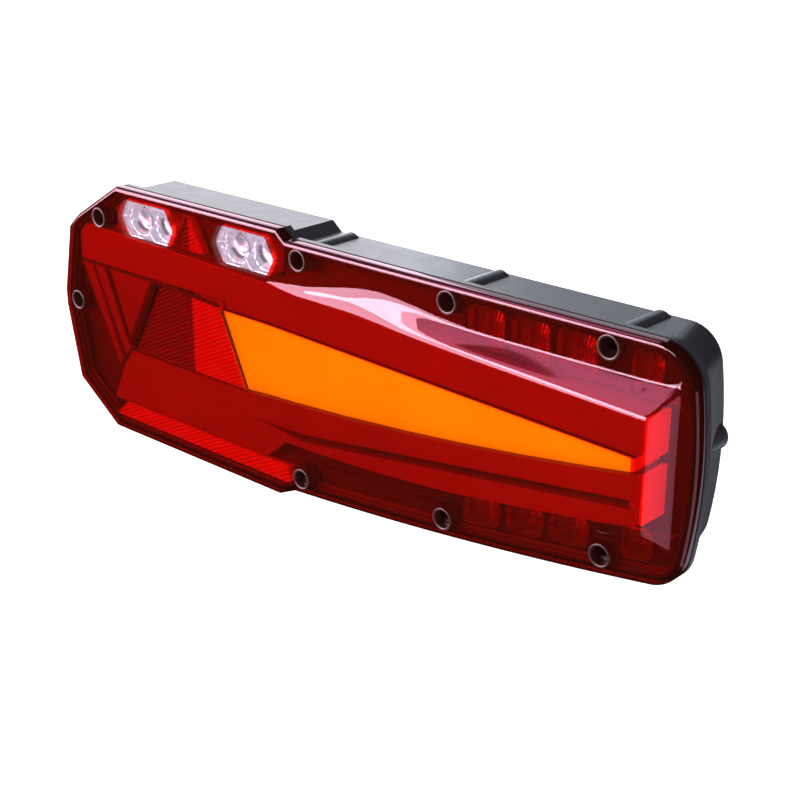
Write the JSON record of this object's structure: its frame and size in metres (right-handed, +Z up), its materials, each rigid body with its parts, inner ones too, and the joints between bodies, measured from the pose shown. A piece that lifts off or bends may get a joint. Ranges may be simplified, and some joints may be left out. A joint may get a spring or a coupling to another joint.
{
  "type": "trailer tail light",
  "caption": "Long wedge-shaped LED combination rear lamp with red lens, amber indicator wedge, clear reversing windows, triangular reflector, rear fixing studs and round connector socket.",
  "frame": {"origin": "midway between the two fixing studs, on the rear face of the mounting pads", "axes": "+X along the lamp towards its rounded, wedge-shaped end; +Z up; the lamp shines towards -Y and its studs stand out towards +Y"},
  "size_m": [0.412, 0.086, 0.14],
  "materials": {
    "housing_plastic": "fine grained grey moulding",
    "red_lens": "clear red, polished",
    "amber_lens": "clear amber, polished",
    "clear_lens": "clear, polished",
    "black_rubber": "soft black",
    "steel": "zinc plated",
    "reflector_chrome": "vacuum metallised",
    "reflex_red": "prismatic red",
    "guide_red": "satin translucent red",
    "diffuser_amber": "satin translucent amber",
    "carrier_plastic": "dark moulding",
    "circuit_board": "green laminate",
    "led_body": "white with phosphor",
    "black_plastic": "black moulding",
    "aluminium_can": "satin",
    "ribbon_plastic": "grey ribbon",
    "brass": "plated"
  },
  "bodies": {
    "root": {"housing": "housing_plastic", "lens": "red_lens", "indicator_window": "amber_lens", "reversing_window_left": "clear_lens", "reversing_window_right": "clear_lens", "lens_gasket": "black_rubber", "screw_seals": "black_rubber", "lens_screws": "steel", "reversing_reflector_left": "reflector_chrome", "reversing_reflector_right": "reflector_chrome", "reflex_tip": "reflex_red", "reflex_centre": "reflex_red", "reflex_base": "reflex_red", "upper_light_guide": "guide_red", "lower_light_guide": "guide_red", "indicator_diffuser": "diffuser_amber", "slanted_bar_outer": "guide_red", "slanted_bar_inner": "guide_red", "arrow_light_guide": "guide_red", "end_light_guide_upper": "guide_red", "end_light_guide_lower": "guide_red", "stop_reflector": "reflector_chrome", "fog_reflector": "reflector_chrome", "carrier_panel": "carrier_plastic", "left_circuit_board": "circuit_board", "main_circuit_board": "circuit_board", "tail_leds": "led_body", "indicator_leds": "led_body", "stop_leds": "led_body", "fog_leds": "led_body", "reversing_leds": "led_body", "driver_chips": "black_plastic", "capacitors": "aluminium_can", "board_screws": "steel", "board_link_cable": "ribbon_plastic", "connector_socket": "black_plastic", "connector_pins": "brass", "connector_seal": "black_rubber", "connector_ring_nut": "black_plastic", "breather_vent": "black_plastic", "mounting_studs": "steel", "mounting_pads": "black_rubber"}
  },
  "joints": []
}
